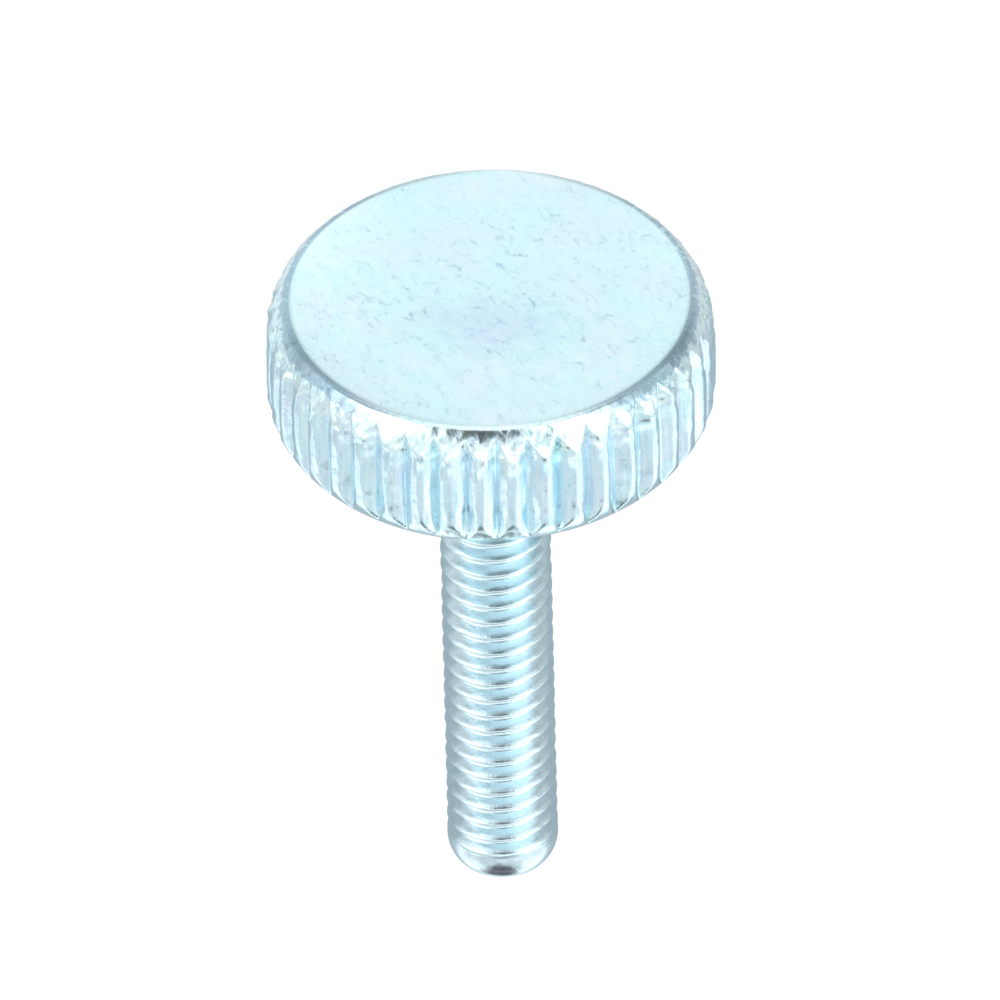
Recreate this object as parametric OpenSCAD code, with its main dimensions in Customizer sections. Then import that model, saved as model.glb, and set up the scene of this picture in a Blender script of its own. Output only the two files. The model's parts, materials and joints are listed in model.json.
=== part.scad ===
// Knurled thumb screw: a flat round head with a straight knurl, on a long shank with a rounded point.
//
// It is one piece, and it lies on its side as a dropped one comes to rest. The lower rim of
// the head and the rounded point touch the ground at Z = 0. The axis rises from the point,
// at +X, to the head, at -X. The shank is a true cylinder at the crest diameter of its thread.
// All sizes are in millimetres.

/* [Head] */
// Diameter of the head over the crests of the knurl
head_d = 15.6; // [12:0.1:24]
// Height of the head
head_h = 5; // [3:0.1:10]
// Width of the crowned bevel at both rims, measured along the radius
bevel_w = 0.7; // [0.3:0.05:1.1]
// Height of the crowned bevel at both rims, measured along the axis
bevel_h = 1.25; // [0.5:0.05:1.4]
// Radius of the bevel's crown
bevel_crown_r = 2.2; // [1:0.1:6]

/* [Knurl] */
// Number of teeth around the head
knurl_teeth = 43; // [30:1:60]
// Angle between the two flanks of a groove
knurl_angle = 90; // [70:5:110]
// Width of the flat that is left on each crest
crest_flat = 0.2; // [0.05:0.05:0.3]
// Width of the eased shoulder on each side of a crest
shoulder_w = 0.15; // [0.05:0.01:0.2]
// Drop of the eased shoulder
shoulder_h = 0.07; // [0.02:0.01:0.12]

/* [Shank] */
// Diameter of the shank over the crests of the thread
shank_d = 3.88; // [3:0.01:6]
// Length under the head, with the point
shank_l = 20; // [6:0.5:40]
// Length of the rounded point
point_l = 1.2; // [1:0.1:2]
// Width that the rounding of the point takes off the shank's radius
point_w = 0.74; // [0.3:0.02:0.9]

/* [Hidden] */
$fn = 180;

head_r = head_d / 2;
shank_r = shank_d / 2;

// How far a cutter runs past what it cuts
cut_over = 1;

// The bevel is an arc from the edge of the flat to the first full crest.
// Its centre stands off the middle of that chord, on the inner side.
bevel_chord = norm([bevel_w, bevel_h]);
bevel_stand_off = sqrt(pow(bevel_crown_r, 2) - pow(bevel_chord / 2, 2));
crown_r = head_r - bevel_w / 2 - bevel_stand_off * bevel_h / bevel_chord;
crown_z = bevel_h / 2 + bevel_stand_off * bevel_w / bevel_chord;

// The pitch of the knurl and what stays on a crest set how wide and how deep the grooves are
tooth_turn = 360 / knurl_teeth;
half_mouth = PI * head_r / knurl_teeth - crest_flat / 2;
half_root = half_mouth - shoulder_w;
knurl_depth = shoulder_h + half_root / tan(knurl_angle / 2);

// The shoulders on both sides of a crest would meet at this radius
peak_r = head_r + crest_flat / 2 * shoulder_h / shoulder_w;

// The point is an arc that leaves the cylinder without an edge and stops at the end flat
point_r = (pow(point_w, 2) + pow(point_l, 2)) / (2 * point_w);
point_core_r = shank_r - point_r;
shank_straight_l = shank_l - point_l;

// At rest the ground touches the crown of the lower bevel and the arc of the point, so the tilt
// is that of the outer tangent to the two arcs. A groove faces straight down and only the
// shoulders beside it touch, so the head reaches a little less far down than its radius.
crest_reach = cos(asin(half_root / head_r));
rest_dr = crown_r * crest_reach - point_core_r;
rest_dz = shank_straight_l + crown_z;
rest_tilt = atan(rest_dr / rest_dz)
    + asin((bevel_crown_r * crest_reach - point_r) / norm([rest_dr, rest_dz]));

// Where the ground and the middle of the length are, seen from the centre of the seat
rest_lift = point_core_r * cos(rest_tilt) + shank_straight_l * sin(rest_tilt) + point_r;
reach_head = head_h * cos(rest_tilt) + (head_r - bevel_w) * sin(rest_tilt);
reach_point = shank_l * cos(rest_tilt) + (shank_r - point_w) * sin(rest_tilt);

// Half section of the head before knurling, with its seat at Y = 0
module blank_section() {
    difference() {
        square([head_r, head_h]);
        corner_cut([crown_r, crown_z], bevel_crown_r, bevel_h);
        translate([0, head_h]) mirror([0, 1])
            corner_cut([crown_r, crown_z], bevel_crown_r, bevel_h);
    }
}

// What an arc of radius r around centre takes off a corner that ends at the height top
module corner_cut(centre, r, top) {
    difference() {
        translate([centre.x, -cut_over]) square([r + cut_over, top + cut_over]);
        translate(centre) circle(r = r);
    }
}

// The four corners of one tooth of the bar, turned by a around the axis: the root beside it,
// the shoulder, the peak that the blank cuts down to the crest's flat, and the other shoulder
function tooth(a) = [
    turned(head_r - knurl_depth, 0, a),
    turned(head_r - shoulder_h, half_root, a),
    turned(peak_r, 0, a + tooth_turn / 2),
    turned(head_r - shoulder_h, -half_root, a + tooth_turn)
];

// The point x out and y across, turned by a around the axis
function turned(x, y, a) = [x * cos(a) - y * sin(a), x * sin(a) + y * cos(a)];

// The toothed bar that the knurl's grooves come from, with one groove facing -X
module knurl_section() {
    polygon([for (i = [0 : knurl_teeth - 1]) each tooth(180 + i * tooth_turn)]);
}

// The head stands on its seat at Z = 0
module head() {
    intersection() {
        rotate_extrude() blank_section();
        translate([0, 0, -cut_over])
            linear_extrude(head_h + 2 * cut_over) knurl_section();
    }
}

// Half section of the shank, from the middle of the head down to the point
module shank_section() {
    translate([0, -shank_l]) difference() {
        square([shank_r, shank_l + head_h / 2]);
        corner_cut([point_core_r, point_l], point_r, point_l);
    }
}

module thumb_screw() {
    color("lightsteelblue")
        translate([(reach_head - reach_point) / 2, 0, rest_lift])
            rotate([0, rest_tilt - 90, 0])
                union() {
                    head();
                    rotate_extrude() shank_section();
                }
}

thumb_screw();
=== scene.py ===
import functools
import json
import math

import bmesh
import bpy
import numpy as np
from mathutils import Matrix


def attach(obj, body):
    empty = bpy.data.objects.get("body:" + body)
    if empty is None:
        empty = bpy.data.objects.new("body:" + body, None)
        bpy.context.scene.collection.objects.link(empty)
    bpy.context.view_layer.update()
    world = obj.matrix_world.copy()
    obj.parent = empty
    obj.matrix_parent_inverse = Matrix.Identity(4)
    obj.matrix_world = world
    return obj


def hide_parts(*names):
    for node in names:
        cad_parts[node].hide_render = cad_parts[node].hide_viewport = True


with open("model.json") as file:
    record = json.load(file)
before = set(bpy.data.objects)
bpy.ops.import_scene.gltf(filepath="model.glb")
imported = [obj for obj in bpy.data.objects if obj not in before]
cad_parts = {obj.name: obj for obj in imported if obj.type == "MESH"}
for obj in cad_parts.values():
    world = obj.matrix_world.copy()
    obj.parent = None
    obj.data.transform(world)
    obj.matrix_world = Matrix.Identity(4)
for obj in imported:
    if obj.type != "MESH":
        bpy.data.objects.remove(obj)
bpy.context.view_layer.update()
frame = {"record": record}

MM = 0.001
TAU = 2 * math.pi

# ---------------------------------------------------------------- where the screw lies
# The part's own frame, in mm: Z along the axis from the seat (0) to the top of the head,
# X on the side that faces up, Y level.
shank_mount = next(m for m in frame["record"]["mounts"] if m["name"] == "shank")
SHANK_STRAIGHT = shank_mount["dims"]["length_mm"]
TO_POINT = np.array(shank_mount["axis"])
TO_POINT /= np.linalg.norm(TO_POINT)
SEAT = np.array(shank_mount["pos_m"]) / MM - TO_POINT * SHANK_STRAIGHT / 2
AXIS_Z = -TO_POINT
AXIS_Y = np.array([0.0, 1.0, 0.0])
AXIS_X = np.cross(AXIS_Y, AXIS_Z)

# ---------------------------------------------------------------- sizes, in mm, as in the CAD
HEAD_R = 7.8
HEAD_H = 5.0
BEVEL_W = 0.7
BEVEL_H = 1.25
BEVEL_CROWN_R = 2.2
TEETH = 43
SHANK_R = shank_mount["dims"]["r_mm"]
SHANK_L = 20.0
POINT_L = SHANK_L - SHANK_STRAIGHT
POINT_W = 0.74
PITCH = 0.7

FLAT_R = HEAD_R - BEVEL_W
BEVEL_CHORD = math.hypot(BEVEL_W, BEVEL_H)
STAND_OFF = math.sqrt(BEVEL_CROWN_R**2 - (BEVEL_CHORD / 2) ** 2)
CROWN_R = HEAD_R - BEVEL_W / 2 - STAND_OFF * BEVEL_H / BEVEL_CHORD
CROWN_Z = BEVEL_H / 2 + STAND_OFF * BEVEL_W / BEVEL_CHORD
POINT_R = (POINT_W**2 + POINT_L**2) / (2 * POINT_W)
POINT_CORE_R = SHANK_R - POINT_R
POINT_END_R = SHANK_R - POINT_W


# ---------------------------------------------------------------- helpers for shapes
def soft_min(a, b, k):
    """The lesser of a and b, with the corner between them rounded over about k."""
    h = np.clip(0.5 + 0.5 * (b - a) / k, 0, 1)
    return b + (a - b) * h - k * h * (1 - h)


def soft_max(a, b, k):
    """The greater of a and b, with the corner between them rounded over about k."""
    return -soft_min(-a, -b, k)


def ease(x, a, b):
    """0 up to a and 1 from b on, smooth between."""
    t = np.clip((x - a) / (b - a), 0, 1)
    return t * t * (3 - 2 * t)


def cell(ix, iy, iz, seed):
    """A fixed pseudo-random number, 0 to 1, for each whole-number cell."""
    with np.errstate(over="ignore"):
        n = (
            ix.astype(np.uint32) * np.uint32(374761393)
            + iy.astype(np.uint32) * np.uint32(668265263)
            + iz.astype(np.uint32) * np.uint32(2246822519)
            + np.uint32(seed) * np.uint32(3266489917)
        )
        n = (n ^ (n >> np.uint32(13))) * np.uint32(1274126177)
        n = (n ^ (n >> np.uint32(16))) * np.uint32(2246822519)
        n = n ^ (n >> np.uint32(15))
    return n.astype(np.float64) / 4294967295.0


def value_noise(point, across, along, seed):
    """Smooth noise, 0 to 1, with so many cells to a mm across and along the axis."""
    x, y, z = point
    scaled = (x * across, y * across, z * along)
    base = [np.floor(v).astype(np.int64) for v in scaled]
    part = [v - b for v, b in zip(scaled, base)]
    part = [t * t * (3 - 2 * t) for t in part]
    total = 0
    for corner in range(8):
        step = [(corner >> k) & 1 for k in range(3)]
        weight = 1
        for t, s in zip(part, step):
            weight = weight * (t if s else 1 - t)
        total = total + weight * cell(*[b + s for b, s in zip(base, step)], seed)
    return total


def layered(point, layers):
    """The sum of noises, each (weight, cells to a mm across and along the axis, seed)."""
    return sum(weight * value_noise(point, *noise) for weight, *noise in layers)


def to_world(x, y, z):
    """Points of the part's own frame, in mm, as points of the CAD frame, in metres."""
    p = SEAT + np.outer(x, AXIS_X) + np.outer(y, AXIS_Y) + np.outer(z, AXIS_Z)
    return p * MM


def full_turn(columns):
    """Evenly spaced angles all the way round."""
    return np.arange(columns) / columns * TAU


class Shell:
    """Collects rings of vertices and the faces between them."""

    def __init__(self):
        self.points = []
        self.faces = []
        self.count = 0

    def add(self, radius, angle, z):
        """Adds vertices and gives back their numbers, in the same shape."""
        radius, angle, z = np.broadcast_arrays(radius, angle, z)
        shape = radius.shape
        flat = [v.ravel() for v in (radius, angle, z)]
        self.points.append(
            np.stack([flat[0] * np.cos(flat[1]), flat[0] * np.sin(flat[1]), flat[2]], 1)
        )
        ids = np.arange(self.count, self.count + flat[0].size).reshape(shape)
        self.count += flat[0].size
        return ids

    def band(self, a, b):
        """Quads between two rings with the same number of vertices."""
        self.faces += np.stack([a, np.roll(a, -1), np.roll(b, -1), b], 1).tolist()

    def bands(self, rings):
        """Quads between each ring and the next."""
        for a, b in zip(rings[:-1], rings[1:]):
            self.band(a, b)

    def fan(self, many, few):
        """Triangles between a ring and a coarser one, whose count divides it."""
        n = len(few)
        m = len(many) // n
        half = m // 2
        for i in range(n):
            here, after = few[i], few[(i + 1) % n]
            row = [many[(i * m + k) % len(many)] for k in range(m + 1)]
            self.faces += [[row[k], row[k + 1], here] for k in range(half)]
            self.faces.append([row[half], after, here])
            self.faces += [[row[k], row[k + 1], after] for k in range(half, m)]

    def cap(self, ring, z):
        """Triangles from a ring to a vertex on the axis."""
        centre = self.add([0.0], 0.0, z)[0]
        self.faces += [[a, b, centre] for a, b in zip(ring, np.roll(ring, -1))]

    def mesh(self, name):
        """The mesh, with vertices in one place joined and faces turned outwards."""
        points = np.concatenate(self.points)
        _, first, joined = np.unique(
            np.round(points, 6), axis=0, return_index=True, return_inverse=True
        )
        joined = joined.ravel()
        faces = []
        for face in self.faces:
            face = [int(joined[v]) for v in face]
            face = [v for i, v in enumerate(face) if v != face[i - 1]]
            if len(set(face)) > 2:
                faces.append(face)
        made = bpy.data.meshes.new(name)
        made.from_pydata(to_world(*points[first].T).tolist(), [], faces)
        made.validate()
        bm = bmesh.new()
        bm.from_mesh(made)
        bmesh.ops.recalc_face_normals(bm, faces=bm.faces)
        bm.to_mesh(made)
        bm.free()
        return made


# ---------------------------------------------------------------- the head and its knurl
HEAD_COLUMNS = TEETH * 24
TOP_COLUMNS = TEETH * 4
LOW_BEVEL_ROWS, SIDE_ROWS, HIGH_BEVEL_ROWS = 11, 24, 18
TOP_RINGS = (6.0, 5.0, 4.0, 3.0, 2.0, 1.0)
# the rounded edge of the flat top: how far in from its rim, and how far down
LIP = ((0.0, 0.075), (0.11, 0.040), (0.18, 0.018), (0.25, 0.005), (0.30, 0.0))

TOOTH_HALF = math.pi * HEAD_R / TEETH
PLATEAU_HALF = 0.20  # half the width of a tooth's crest
PLATEAU_CROWN = 0.045  # how far a crest falls away to its edges
CROWN_MOST = 0.2  # how far it falls away at most, farther out
FLANK_START = 0.02  # how deep a flank starts at the edge of a crest
KNURL_DEPTH = 0.39
CREST_ROUND, ROOT_ROUND, BLANK_ROUND = 0.04, 0.06, 0.03
# a crest gets wider and narrower along its length, by this much and with this noise
WANDER = 0.10
WANDER_NOISE = (2.2, 0.9, 11)

# streaks, bands and grain on the crests, and flecks where their noise is high
CREST_ROUGHNESS = ((0.030, 8.5, 0.9, 23), (0.030, 4.3, 0.6, 29), (0.010, 11, 5.0, 31))
FLECK_DEPTH = 0.012
FLECK_NOISE = (6.0, 3.4, 33)
FLECK_FROM_TO = (0.66, 0.90)
# between these depths the roughness falls to this share, which the grooves have
SMOOTHER_FROM_TO = (0.10, 0.30)
GROOVE_SHARE = 0.25

# the dimples of the bevel, around their mean
DIMPLES = ((1.0, 3.3, 3.3, 37), (0.5, 6.1, 6.1, 39))
DIMPLE_MEAN = 0.75
DIMPLE_DEPTH = 0.085
LOWER_SHARE = 0.4  # of that depth at the lower bevel
# at a rim they vary by this share only, and in full from the second distance on
RIM_SHARE = 0.3
RIM_FROM_TO = (0.10, 0.50)

# what differs from tooth to tooth
rng = np.random.default_rng(4)
tooth_shift = rng.normal(0, 0.030, TEETH)
tooth_drop = rng.uniform(0.0, 0.02, TEETH)
tooth_half = PLATEAU_HALF + rng.normal(0, 0.022, TEETH)
tooth_lean = rng.normal(0, 0.03, TEETH)
groove_depth = KNURL_DEPTH + rng.normal(0, 0.018, TEETH)


def blank_radius(z):
    """The radius of the head without its grooves at height z."""
    low = np.minimum(z, HEAD_H - z)
    arc = CROWN_R + np.sqrt(np.maximum(BEVEL_CROWN_R**2 - (low - CROWN_Z) ** 2, 0))
    return np.where(low < BEVEL_H, np.minimum(arc, HEAD_R), HEAD_R)


def on_blank(angle, z):
    """The point at the head's full radius."""
    return HEAD_R * np.cos(angle), HEAD_R * np.sin(angle), z


def knurl_radius(angle, z):
    """The radius of the toothed bar, uneven from tooth to tooth and pitted on its crests."""
    turn = angle / TAU * TEETH
    tooth = np.round(turn).astype(int) % TEETH
    groove = np.floor(turn).astype(int) % TEETH
    s = (turn - np.round(turn)) * 2 * TOOTH_HALF
    # a tooth shifts and leans, but the middle of each groove stays
    s = s - (tooth_shift[tooth] + tooth_lean[tooth] * (z / HEAD_H - 0.5)) * (
        1 - (np.abs(s) / TOOTH_HALF) ** 2
    )
    point = on_blank(angle, z)
    half = tooth_half[tooth] + WANDER * (value_noise(point, *WANDER_NOISE) - 0.5)
    crown = np.minimum(PLATEAU_CROWN * (s / PLATEAU_HALF) ** 2, CROWN_MOST)
    flank = np.abs(s) - half + FLANK_START
    drop = soft_max(crown, flank, CREST_ROUND)
    drop = soft_min(drop, groove_depth[groove], ROOT_ROUND)
    rough = layered(point, CREST_ROUGHNESS)
    rough += FLECK_DEPTH * ease(value_noise(point, *FLECK_NOISE), *FLECK_FROM_TO)
    share = GROOVE_SHARE + (1 - GROOVE_SHARE) * (1 - ease(drop, *SMOOTHER_FROM_TO))
    return HEAD_R - tooth_drop[tooth] - drop - share * rough


def dimple_depth(angle, z):
    """How deep the dimples of the bevel are, calmer next to the rims."""
    depth = layered(on_blank(angle, z), DIMPLES)
    from_rim = np.minimum(z, HEAD_H - z)
    varied = RIM_SHARE + (1 - RIM_SHARE) * ease(from_rim, *RIM_FROM_TO)
    depth = DIMPLE_MEAN + (depth - DIMPLE_MEAN) * varied
    share = 1 - ease(from_rim, BEVEL_H, BEVEL_H * 1.5)
    share *= np.where(z < HEAD_H / 2, LOWER_SHARE * ease(from_rim, 0.0, BEVEL_H / 3), 1.0)
    return DIMPLE_DEPTH * share * depth


def head_heights():
    """The height of each row of vertices up the side of the head, from rim to rim."""
    start = math.asin(CROWN_Z / BEVEL_CROWN_R)
    end = math.asin((CROWN_Z - BEVEL_H) / BEVEL_CROWN_R)
    low, high = [
        CROWN_Z - BEVEL_CROWN_R * np.sin(np.linspace(start, end, rows))
        for rows in (LOW_BEVEL_ROWS, HIGH_BEVEL_ROWS)
    ]
    low[0], low[-1], high[0], high[-1] = 0.0, BEVEL_H, 0.0, BEVEL_H
    high = np.delete(high, 1)  # the rounded edge of the flat takes its place
    side = np.linspace(BEVEL_H, HEAD_H - BEVEL_H, SIDE_ROWS)[1:-1]
    return np.concatenate([low, side, HEAD_H - high[::-1]])


def add_head(shell):
    """Adds the side and the top of the head, and gives back its lower rim."""
    z, angle = np.meshgrid(head_heights(), full_turn(HEAD_COLUMNS), indexing="ij")
    z[-1] = HEAD_H - LIP[0][1]
    radius = soft_min(blank_radius(z), knurl_radius(angle, z), BLANK_ROUND)
    radius = np.minimum(radius, blank_radius(z)) - dimple_depth(angle, z)
    radius[0] = FLAT_R
    side = shell.add(radius, angle, z)
    shell.bands(side)
    rings = [(FLAT_R - inwards, HEAD_H - down) for inwards, down in LIP[1:]]
    rings += [(r, HEAD_H) for r in TOP_RINGS]
    top = [shell.add(r, full_turn(TOP_COLUMNS), z) for r, z in rings]
    shell.fan(side[-1], top[0])
    shell.bands(top)
    shell.cap(top[-1], HEAD_H)
    return side[0]


# ---------------------------------------------------------------- the shank and its thread
SHANK_COLUMNS = TEETH * 2
SEAT_RINGS = (6.5, 4.5, 2.6)
TIP_RINGS = (0.8, 0.4)
THREAD_DEPTH = 0.40
FADE_FROM_TO = (-0.75, -0.05)  # where the thread runs out, before the point's rounding
THREAD_START = -5.17  # a crest on the side that faces the camera
TURN = math.radians(3.5)  # how far round the axis the camera stands
CREST_HALF = 0.015
BULGE = math.tan(math.radians(42))  # slope of the rolled-over edge of a crest
BULGE_W = 0.062
FLANK = math.tan(math.radians(60))
FLANK_FROM = CREST_HALF + BULGE_W * (1 - BULGE / FLANK)
THREAD_CREST_ROUND, THREAD_FLANK_ROUND, THREAD_ROOT_ROUND = 0.02, 0.03, 0.10
POINT_ROUND = 0.02
# nicks, where their noise is high, and burrs on the crests, gone between these depths
NICK_DEPTH, BURR_DEPTH = 0.025, 0.012
NICK_NOISE, BURR_NOISE = (2.5, 3.1, 41), (5, 6, 43)
NICK_FROM_TO = (0.60, 0.85)
CLEAN_FROM_TO = (0.02, 0.16)
# where the rows of vertices are in one pitch: the second half mirrors the first
STEPS = np.array([0, 0.02, 0.04, 0.08, 0.11, 0.15, 0.235, 0.275, 0.31, 0.35])
STEPS = np.concatenate([STEPS, PITCH - STEPS[-2:0:-1]])


def thread_radius(angle, z):
    """The radius of the threaded shank, whose thread fades where the point is rounded."""
    turn = (z - THREAD_START) / PITCH - (angle - TURN) / TAU
    s = np.abs(turn - np.round(turn)) * PITCH
    drop = soft_max((s - CREST_HALF) * BULGE, 0.0, THREAD_CREST_ROUND)
    drop = soft_max(drop, (s - FLANK_FROM) * FLANK, THREAD_FLANK_ROUND)
    drop = soft_min(drop, THREAD_DEPTH, THREAD_ROOT_ROUND)
    point = SHANK_R * np.cos(angle), SHANK_R * np.sin(angle), z
    nick = NICK_DEPTH * ease(value_noise(point, *NICK_NOISE), *NICK_FROM_TO)
    burr = BURR_DEPTH * value_noise(point, *BURR_NOISE)
    drop = drop + (1 - ease(drop, *CLEAN_FROM_TO)) * (nick + burr)
    past = -(SHANK_L - POINT_L) - z
    drop = drop * (1 - ease(past, *FADE_FROM_TO))
    down = np.clip(past, 0, POINT_L)
    rounded = POINT_CORE_R + np.sqrt(POINT_R**2 - down**2)
    return soft_min(SHANK_R - drop, rounded, POINT_ROUND)


def add_shank(shell, rim):
    """Adds the seat from the head's lower rim in, the threaded shank and the point."""
    around = full_turn(SHANK_COLUMNS)
    first = math.floor((-SHANK_L - PITCH - THREAD_START) / PITCH) - 1
    last = math.ceil((PITCH - THREAD_START) / PITCH) + 1
    rows = np.concatenate([THREAD_START + k * PITCH + STEPS for k in range(first, last)])
    z = np.clip(rows[:, None] + PITCH * around[None, :] / TAU, -SHANK_L, 0)
    angle = np.broadcast_to(around[None, :], z.shape)
    radius = np.minimum(thread_radius(angle, z), SHANK_R)
    radius = np.where(z <= -SHANK_L + 1e-9, POINT_END_R, radius)
    ids = shell.add(radius, angle, z)
    # each row climbs one pitch in a turn, so its end meets the start of a later one
    for k, (a, b) in enumerate(zip(ids[:-1], ids[1:])):
        shell.faces += np.stack([a[:-1], a[1:], b[1:], b[:-1]], 1).tolist()
        later = k + len(STEPS)
        if later + 1 < len(rows):
            c, d = ids[later, 0], ids[later + 1, 0]
            shell.faces.append([int(a[-1]), int(c), int(d), int(b[-1])])
    seat = [shell.add(r, around, 0.0) for r in SEAT_RINGS]
    shell.fan(rim, seat[0])
    shell.bands([*seat, ids[-1]])
    tip = [shell.add(r, around, -SHANK_L) for r in TIP_RINGS]
    shell.bands([ids[0], *tip])
    shell.cap(tip[-1], -SHANK_L)


shell = Shell()
add_shank(shell, add_head(shell))
mesh = shell.mesh("thumb_screw_surface")
mesh.shade_smooth()
mesh.set_sharp_from_angle(angle=math.radians(38))
screw = bpy.data.objects.new("thumb_screw_turned", mesh)
bpy.context.scene.collection.objects.link(screw)


# ---------------------------------------------------------------- helpers for node trees
class Tree:
    """A node tree, built up from nothing. A value is a number, a colour or a node's output."""

    def __init__(self, owner):
        owner.use_nodes = True
        self.nodes = owner.node_tree.nodes
        self.links = owner.node_tree.links
        self.nodes.clear()

    def node(self, kind, inputs=(), **settings):
        """A new node with these inputs, by name or number, and settings."""
        made = self.nodes.new("ShaderNode" + kind)
        for name, value in settings.items():
            setattr(made, name, value)
        for key, value in dict(inputs).items():
            if isinstance(value, bpy.types.NodeSocket):
                self.links.new(value, made.inputs[key])
            else:
                made.inputs[key].default_value = value
        return made

    def math(self, operation, *values):
        return self.node("Math", enumerate(values), operation=operation).outputs[0]

    def add(self, *values):
        return functools.reduce(lambda a, b: self.math("ADD", a, b), values)

    def multiply(self, *values):
        return functools.reduce(lambda a, b: self.math("MULTIPLY", a, b), values)

    def subtract(self, a, b):
        return self.math("SUBTRACT", a, b)

    def less(self, share, value):
        """1 less a share of value."""
        return self.subtract(1.0, self.multiply(value, share))

    def centred(self, noise, size):
        """Noise around 0 instead of 0.5, made size times as large."""
        return self.multiply(self.subtract(noise, 0.5), size)

    def vector_math(self, operation, *values):
        return self.node("VectorMath", enumerate(values), operation=operation)

    def split(self, vector):
        return self.node("SeparateXYZ", {0: vector}).outputs

    def step(self, value, low, high):
        """0 at low and 1 at high, smooth between and level beyond."""
        inputs = {"Value": value, "From Min": low, "From Max": high}
        return self.node("MapRange", inputs, interpolation_type="SMOOTHSTEP").outputs[0]

    def between(self, value, low, high, soft):
        """1 where value lies from low to high, with soft edges."""
        rising = self.step(value, low - soft, low + soft)
        return self.multiply(rising, self.step(value, high + soft, high - soft))

    def distance(self, vector, centre, reach):
        """How far out from centre, as a share of the reach along each axis."""
        inputs = {
            "Vector": vector,
            "Location": [-c / r for c, r in zip(centre, reach)],
            "Scale": [1 / r for r in reach],
        }
        mapped = self.node("Mapping", inputs).outputs[0]
        return self.vector_math("LENGTH", mapped).outputs["Value"]

    def noise(self, vector, scale, detail, rough, distortion=0.0):
        """Noise, 0 to 1, with scale cells to a unit of vector."""
        inputs = {
            "Vector": vector,
            "Scale": scale,
            "Detail": detail,
            "Roughness": rough,
            "Distortion": distortion,
        }
        return self.node("TexNoise", inputs).outputs[0]

    def ramp(self, value, stops):
        """A colour for each value, from (value, colour) stops."""
        made = self.node("ValToRGB", {0: value})
        points = made.color_ramp.elements
        while len(points) < len(stops):
            points.new(0.5)
        for point, (at, colour) in zip(points, stops):
            point.position = at
            point.color = (*colour, 1)
        return made.outputs[0]

    def mix(self, factor, a, b, **settings):
        return self.node("Mix", {"Factor": factor, "A": a, "B": b}, **settings).outputs["Result"]

    def blend(self, factor, a, b):
        """Colour a, and colour b where factor is 1."""
        return self.mix(factor, a, b, data_type="RGBA", blend_type="MIX")

    def tint(self, factor, a, b):
        """Colour a, and a times b where factor is 1."""
        return self.mix(factor, a, b, data_type="RGBA", blend_type="MULTIPLY")


# ---------------------------------------------------------------- the zinc
# each a row of (noise, colour) stops
PLATING = [(0.40, (0.68, 0.95, 1.0)), (0.66, (0.73, 0.915, 1.0))]
ROLLED = [(0.30, (0.59, 0.755, 0.83)), (0.66, (0.655, 0.815, 0.875))]
STREAKS = [
    (0.30, (0.77, 0.84, 0.92)),
    (0.42, (0.91, 0.925, 0.99)),
    (0.56, (0.97, 0.96, 1.01)),
    (0.68, (1.10, 1.02, 1.04)),
]
FLECKS = [
    (0.27, (0.72, 0.80, 0.86)),
    (0.35, (1.0, 1.0, 1.0)),
    (0.58, (1.0, 1.0, 1.0)),
    (0.68, (1.15, 1.08, 1.02)),
]
POCKS = [
    (0.30, (0.68, 0.72, 0.78)),
    (0.38, (0.98, 0.97, 1.0)),
    (0.54, (1.07, 1.02, 1.02)),
    (0.64, (1.16, 1.08, 1.06)),
]
# marks on the top: dents, with painted shade and painted highlights in their colour
MARKS_WITH_PAINTED_SHADE_AND_HIGHLIGHT = [
    (0.24, (0.64, 0.72, 0.81)),
    (0.31, (0.87, 0.91, 0.95)),
    (0.38, (0.975, 0.98, 0.99)),
    (0.60, (1.005, 1.0, 1.0)),
    (0.72, (1.07, 1.02, 1.0)),
]
DINTS = [(0.25, (0, 0, 0)), (0.46, (1, 1, 1))]

EVERYWHERE = math.inf  # the reach along an axis that doesn't count
# a painted dark reflection around the rim of the flat top: its tone, width and jaggedness
RIM_PAINTED_SHADE_TONE = (0.56, 0.62, 0.69, 1)
RIM_PAINTED_SHADE_W, RIM_PAINTED_SHADE_W_MORE_IN_FRONT, RIM_PAINTED_SHADE_W_LESS_RIGHT = 0.16, 0.27, 0.04
RIM_PAINTED_SHADE_FAINTER_RIGHT = 0.08
RIM_PAINTED_SHADE_JAGGED = 0.9
# a painted dark reflection on the point: its tone, place, reach and jaggedness
TIP_PAINTED_REFLECTION_TONE = (0.50, 0.47, 0.51, 1)
TIP_PAINTED_REFLECTION_AT, TIP_PAINTED_REFLECTION_REACH = (0, 0.06, -19.2), (EVERYWHERE, 0.52, 0.38)
TIP_PAINTED_REFLECTION_JAGGED = 1.4
STAIN_TONE = (0.91, 0.92, 0.975, 1)
STAIN_AT, STAIN_REACH = (1.5, 0.3, 0), (1.5, 2.4, EVERYWHERE)
STAIN_JAGGED = 1.6
MARKS_AT, MARKS_REACH = (-0.8, 0.5, 0), (1, 1, EVERYWHERE)
MARKS_ANGLE = math.radians(32)
MARKS_PATCHY = 0.35
MARKS_MORE, MARKS_RARER = 0.02, 0.075  # everywhere, and far from the middle
ON_FLAT = 0.02  # what is less far below the top counts as the flat

ROUGH_SPREAD = 0.16
ROUGH_SIDE, ROUGH_TOP = 0.10, 0.26
ROUGHER_THREAD = 0.05  # more than the side
GRAIN_DEPTH, DINT_DEPTH = 0.6, 2.0
BUMP_STRENGTH, BUMP_HEIGHT = 0.35, 0.03 * MM

zinc = bpy.data.materials.new("zinc_plated_steel")
tree = Tree(zinc)

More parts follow.
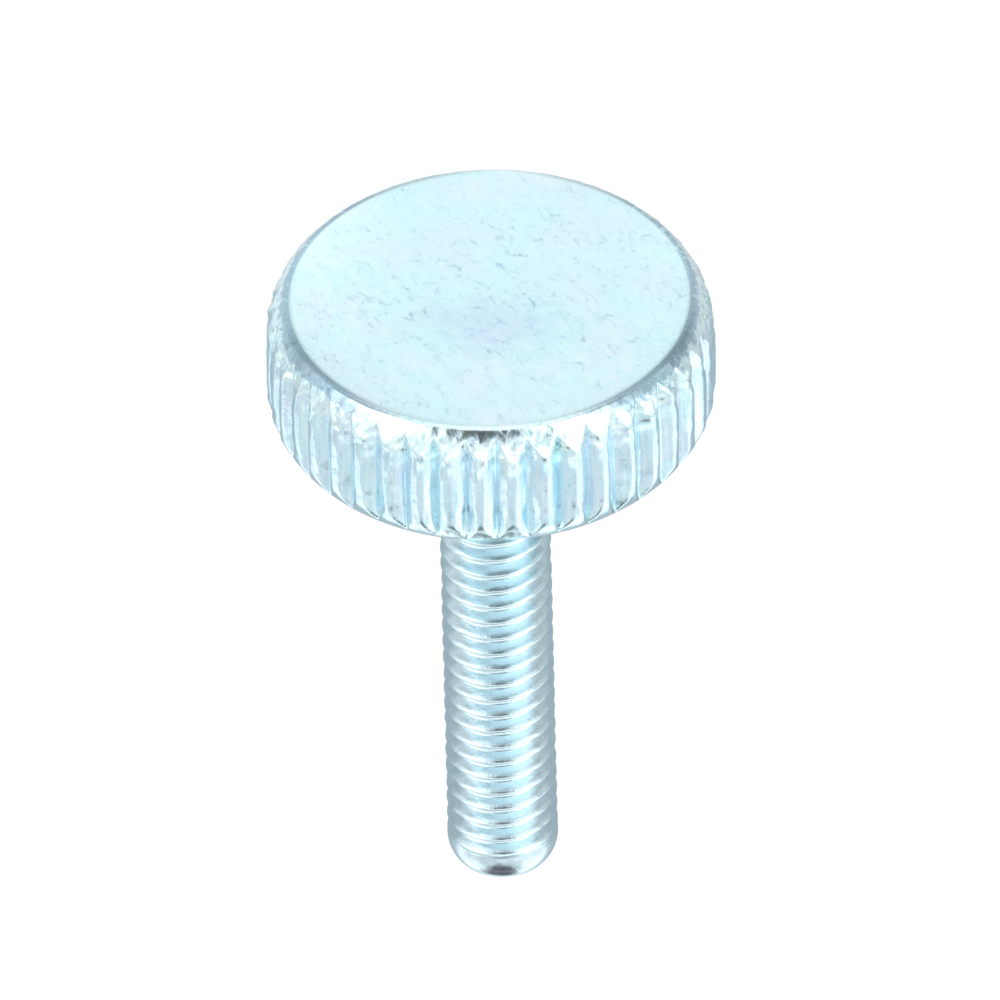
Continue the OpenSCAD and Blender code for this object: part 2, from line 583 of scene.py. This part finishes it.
# the place on the part's own frame, in mm
from_seat = tree.vector_math(
    "SUBTRACT", tree.node("TexCoord").outputs["Object"], tuple(SEAT * MM)
).outputs[0]
axes = [
    tree.vector_math("DOT_PRODUCT", from_seat, tuple(axis / MM)).outputs["Value"]
    for axis in (AXIS_X, AXIS_Y, AXIS_Z)
]
body = tree.node("CombineXYZ", enumerate(axes)).outputs[0]
facing, sideways, height = tree.split(body)

# the same, scaled for noise that is longer along the axis, and longer along a slant
lengthwise = tree.node("Mapping", {"Vector": body, "Scale": (1.0, 1.0, 0.10)}).outputs[0]
slanted = tree.node(
    "Mapping",
    {"Vector": body, "Scale": (1 / 1.8, 1 / 3.0, 1.0), "Rotation": (0, 0, MARKS_ANGLE)},
    vector_type="TEXTURE",
).outputs[0]

# (place, cells to a mm, detail, roughness, distortion)
clouds = tree.noise(body, 0.55, 4.0, 0.6)
speckle = tree.noise(body, 5.0, 3.0, 0.65)
mottle = tree.noise(body, 1.5, 3.0, 0.6, 0.5)
pocks = tree.noise(body, 2.9, 2.0, 0.55, 0.6)
flecks = tree.noise(body, 4.2, 3.0, 0.68, 0.8)
fine = tree.noise(body, 9.0, 3.0, 0.6)
streaks = tree.noise(lengthwise, 6.5, 3.0, 0.62)
dashes = tree.noise(slanted, 1.08, 2.0, 0.5, 1.2)

on_top = tree.math("GREATER_THAN", height, HEAD_H - ON_FLAT)
on_thread = tree.between(height, -SHANK_L + POINT_L / 2, 0.0, 0.15)
on_side = tree.between(height, BEVEL_H / 2, HEAD_H - BEVEL_H, 0.35)
on_bevel = tree.between(height, HEAD_H - BEVEL_H, HEAD_H - 0.05, 0.05)

lined = tree.tint(1.0, tree.ramp(streaks, STREAKS), tree.ramp(flecks, FLECKS))
colour = tree.ramp(clouds, PLATING)
colour = tree.tint(on_side, colour, lined)
colour = tree.tint(on_bevel, colour, tree.ramp(pocks, POCKS))
colour = tree.blend(on_thread, colour, tree.ramp(speckle, ROLLED))

# a painted dark reflection: the thin dark line around the flat top, wider on both sides of the
# front
rightward = tree.step(sideways, -3.0, 3.0)
rim_painted_shade_width = tree.add(
    tree.multiply(tree.step(facing, -1.0, 4.0), RIM_PAINTED_SHADE_W_MORE_IN_FRONT),
    tree.subtract(RIM_PAINTED_SHADE_W, tree.multiply(rightward, RIM_PAINTED_SHADE_W_LESS_RIGHT)),
    tree.centred(pocks, RIM_PAINTED_SHADE_JAGGED),
)
below = tree.subtract(HEAD_H, height)
in_rim_painted_shade = tree.multiply(
    tree.step(tree.subtract(below, rim_painted_shade_width), 0.06, -0.06),
    tree.step(below, 0.004, 0.03),
    tree.step(tree.math("ABSOLUTE", sideways), 3.0, 5.2),
    tree.less(RIM_PAINTED_SHADE_FAINTER_RIGHT, rightward),
)
colour = tree.tint(in_rim_painted_shade, colour, RIM_PAINTED_SHADE_TONE)

# a painted dark reflection on the point
tip_painted_reflection_edge = tree.add(
    tree.distance(body, TIP_PAINTED_REFLECTION_AT, TIP_PAINTED_REFLECTION_REACH), tree.centred(pocks, TIP_PAINTED_REFLECTION_JAGGED)
)
tip_painted_reflection = tree.multiply(tree.step(tip_painted_reflection_edge, 1.25, 0.65), tree.step(facing, 0.3, 0.9))
colour = tree.tint(tip_painted_reflection, colour, TIP_PAINTED_REFLECTION_TONE)

# a dull stain on the top, a little before its middle
stain_edge = tree.add(
    tree.distance(body, STAIN_AT, STAIN_REACH), tree.multiply(mottle, STAIN_JAGGED)
)
stained = tree.multiply(tree.step(stain_edge, 2.2, 1.2), on_top)
colour = tree.tint(stained, colour, STAIN_TONE)

# fine marks on the top, rarer farther from its middle: dents in the relief, darkened with painted
# shade and lightened with painted highlights
out_by = tree.distance(body, MARKS_AT, MARKS_REACH)
rarer = tree.multiply(tree.step(out_by, 2.6, 6.2), MARKS_RARER)
dabs = tree.add(dashes, tree.centred(mottle, MARKS_PATCHY), rarer, -MARKS_MORE)
colour = tree.tint(on_top, colour, tree.ramp(dabs, MARKS_WITH_PAINTED_SHADE_AND_HIGHLIGHT))

rough_low = tree.multiply(speckle, ROUGH_SPREAD)
rough_side = tree.add(rough_low, tree.multiply(on_thread, ROUGHER_THREAD), ROUGH_SIDE)
rough_top = tree.add(rough_low, ROUGH_TOP)
roughness = tree.mix(on_top, rough_side, rough_top, data_type="FLOAT")

relief = tree.add(
    tree.multiply(fine, GRAIN_DEPTH),
    tree.multiply(speckle, GRAIN_DEPTH),
    tree.multiply(tree.ramp(dabs, DINTS), on_top, DINT_DEPTH),
)
bump = tree.node(
    "Bump", {"Strength": BUMP_STRENGTH, "Distance": BUMP_HEIGHT, "Height": relief}
).outputs[0]
shader = tree.node(
    "BsdfPrincipled",
    {"Metallic": 1.0, "Base Color": colour, "Roughness": roughness, "Normal": bump},
)
tree.node("OutputMaterial", {"Surface": shader.outputs[0]})
mesh.materials.append(zinc)

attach(screw, "root")
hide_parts("thumb_screw")

# ---------------------------------------------------------------- the floor
FLOOR_HALF = 3.0
FLOOR_COLOUR = (0.26, 0.26, 0.26, 1)
FLOOR_GLOW = 0.80
WHITE = (1, 1, 1, 1)
# What the screw mirrors is a floor with painted shade and light, dim and bright parts that glow
# only for reflections, in mm from the origin:
# (middle along X and Y, reach along X and Y, gain) of its patches
PATCHES = [
    (-32, 31, 20, 22.5, -0.40),
    (-36, -32, 18, 23.5, -0.14),
    (70, -75, 60, 50, -0.26),
    (70, 85, 60, 50, -0.12),
    (-17, -20, 15, 17, 0.40),
    (-17, 20, 15, 17, 0.10),
    (21, -6, 9, 5, 0.38),
    (21, 7, 9, 6, 0.38),
]
LANE_HALF = 8
TIP_X = 11  # about where the point is
WEDGE_SPREAD, WEDGE_SKEW = 0.27, 0.09
FLANK_SHARE, NEAR_SHARE, WEDGE_SHARE = 0.33, 0.12, 0.76  # how much darker each of them is
AHEAD_GAIN = 0.25
MIRRORED_GAIN = 1.01
NEAR_TINT = [(0, (1, 1, 1)), (1, (0.88, 0.96, 1.02))]

floor_mesh = bpy.data.meshes.new("floor")
floor_mesh.from_pydata(
    [(x * FLOOR_HALF, y * FLOOR_HALF, 0) for x, y in ((-1, -1), (1, -1), (1, 1), (-1, 1))],
    [],
    [(0, 1, 2, 3)],
)
floor = bpy.data.objects.new("floor", floor_mesh)
bpy.context.scene.collection.objects.link(floor)

pale = bpy.data.materials.new("pale_floor")
tree = Tree(pale)
position = tree.node("NewGeometry").outputs["Position"]
position = tree.node(
    "VectorMath", {0: position, "Scale": 1 / MM}, operation="SCALE"
).outputs[0]
along, across, _ = tree.split(position)
aside = tree.math("ABSOLUTE", across)

# painted shade, dim to both sides of the screw, and clear behind the head
open_lane = tree.multiply(tree.step(along, -14, -17), LANE_HALF)
flanks = tree.multiply(
    tree.step(tree.subtract(aside, open_lane), 0, 3),
    tree.step(aside, 90, 55),
    tree.step(along, 20, 15),
)
near = tree.multiply(tree.step(along, -12, -6), tree.step(aside, 32, 18), flanks)
# a painted shadow, dark in a wedge before the point, and painted light farther out in front
past_tip = tree.subtract(along, TIP_X)
spread = tree.multiply(past_tip, WEDGE_SPREAD)
skewed = tree.math("ABSOLUTE", tree.add(across, tree.multiply(past_tip, WEDGE_SKEW)))
wedge = tree.multiply(
    tree.step(tree.subtract(skewed, spread), 1.2, -0.4),
    tree.step(along, 17, 21),
    tree.step(along, 70, 45),
)
ahead = tree.multiply(tree.step(along, 15, 18), tree.step(tree.subtract(aside, spread), 0.8, 2.5))

mirrored = tree.subtract(tree.less(FLANK_SHARE, flanks), tree.multiply(near, NEAR_SHARE))
mirrored = tree.add(mirrored, tree.multiply(ahead, AHEAD_GAIN))
for x, y, reach_x, reach_y, gain in PATCHES:
    out_by = tree.distance(position, (x, y, 0), (reach_x, reach_y, EVERYWHERE))
    patch = tree.step(out_by, 1.0, 0.6)
    mirrored = tree.multiply(mirrored, tree.add(tree.multiply(patch, gain), 1.0))
mirrored = tree.multiply(mirrored, tree.less(WEDGE_SHARE, wedge), MIRRORED_GAIN)

diffuse = tree.node("BsdfDiffuse", {"Color": FLOOR_COLOUR})
glow = tree.node("Emission", {"Color": WHITE, "Strength": FLOOR_GLOW})
lit = tree.node("AddShader", {0: diffuse.outputs[0], 1: glow.outputs[0]})
mirror = tree.node("Emission", {"Color": tree.ramp(near, NEAR_TINT), "Strength": mirrored})
glossy = tree.node("LightPath").outputs["Is Glossy Ray"]
chosen = tree.node("MixShader", {0: glossy, 1: lit.outputs[0], 2: mirror.outputs[0]})
tree.node("OutputMaterial", {"Surface": chosen.outputs[0]})
floor_mesh.materials.append(pale)

# ---------------------------------------------------------------- the camera
PIXELS_PER_MM = 28.85  # at the middle of the screw's length
PHOTO_SIDE = 1000
SENSOR = 36
ELEVATION = math.radians(39.3)  # above the plane across the axis
LEAN = math.radians(1.44)
TOP_AT = (489.4, 297.6)  # where the middle of the top face is in the picture
DISTANCE = 1200.0
CLIP_NEAR, CLIP_FAR = 0.01, 10

level = AXIS_X * math.cos(TURN) + AXIS_Y * math.sin(TURN)
toward = AXIS_Z * math.sin(ELEVATION) + level * math.cos(ELEVATION)
right = np.cross(AXIS_Z, level)
right /= np.linalg.norm(right)
up = np.cross(toward, right)
up, right = (
    up * math.cos(LEAN) + right * math.sin(LEAN),
    right * math.cos(LEAN) - up * math.sin(LEAN),
)
half_length = (SHANK_L + HEAD_H) / 2
top_depth = half_length * math.sin(ELEVATION)  # how much nearer the top face is than the middle
nearer = (DISTANCE - top_depth) / DISTANCE
middle = SEAT + AXIS_Z * (HEAD_H - half_length)
off = [(c - PHOTO_SIDE / 2) / PIXELS_PER_MM * nearer for c in TOP_AT]
target = SEAT + AXIS_Z * HEAD_H - right * off[0] + up * off[1]
target = target - toward * (np.dot(target - middle, toward))
eye = target + toward * DISTANCE

data = bpy.data.cameras.new("camera")
data.sensor_width = SENSOR
data.lens = SENSOR * DISTANCE / (PHOTO_SIDE / PIXELS_PER_MM)
data.clip_start, data.clip_end = CLIP_NEAR, CLIP_FAR
camera = bpy.data.objects.new("camera", data)
rows = [(right[k], up[k], toward[k], eye[k] * MM) for k in range(3)]
camera.matrix_world = Matrix((*rows, (0, 0, 0, 1)))
bpy.context.scene.collection.objects.link(camera)
bpy.context.scene.camera = camera

# ---------------------------------------------------------------- the light
SKY = 0.85
# The soft boxes and the dark cards: (azimuth from +X towards +Y, elevation, full within,
# gone beyond, gain or share taken away), all but the last in degrees
BOXES = [
    (0, 70, 14, 30, 0.50),
    (-140, 34, 13, 26, 0.66),
    (142, 37, 13, 25, 0.60),
    (98, 36, 15, 30, 0.54),
    (75, 30, 20, 52, 0.27),
    (88, 45, 12, 32, 0.15),
    (-108, 36, 14, 34, 0.60),
    (56, 52, 8, 22, 0.50),
    (-122, 13, 8, 16, 0.34),
    (36, 4, 7, 13, 0.75),
    (-36, 6, 7, 13, 0.75),
    (180, 6, 10, 26, 0.40),
]
CARDS = [
    (-178, 58, 8, 19, 0.90),
    (-157, 44, 6, 15, 0.42),
    (115, 2, 9, 20, 0.28),
    (-50, 10, 8, 32, 0.13),
    (0, 11, 12, 18, 0.74),
    (150, 2, 8, 17, 0.45),
    (-150, 2, 8, 17, 0.45),
]

world = bpy.data.worlds.new("studio")
bpy.context.scene.world = world
tree = Tree(world)
direction = tree.node("TexCoord").outputs["Generated"]


def spot(azimuth, elevation, inner, outer):
    """1 within inner degrees of a direction, 0 beyond outer degrees."""
    a, e, inner, outer = (math.radians(v) for v in (azimuth, elevation, inner, outer))
    middle = (math.cos(a) * math.cos(e), math.sin(a) * math.cos(e), math.sin(e))
    dot = tree.vector_math("DOT_PRODUCT", direction, middle).outputs["Value"]
    return tree.step(dot, math.cos(outer), math.cos(inner))


strength = SKY
for *where, gain in BOXES:
    strength = tree.add(tree.multiply(spot(*where), gain), strength)
for *where, share in CARDS:
    strength = tree.multiply(strength, tree.less(share, spot(*where)))
to_camera = tree.node("LightPath").outputs["Is Camera Ray"]
strength = tree.mix(to_camera, strength, 1.0, data_type="FLOAT")
sky = tree.node("Background", {"Color": WHITE, "Strength": strength})
tree.node("OutputWorld", {"Surface": sky.outputs[0]})

bpy.context.scene.view_settings.view_transform = "Standard"
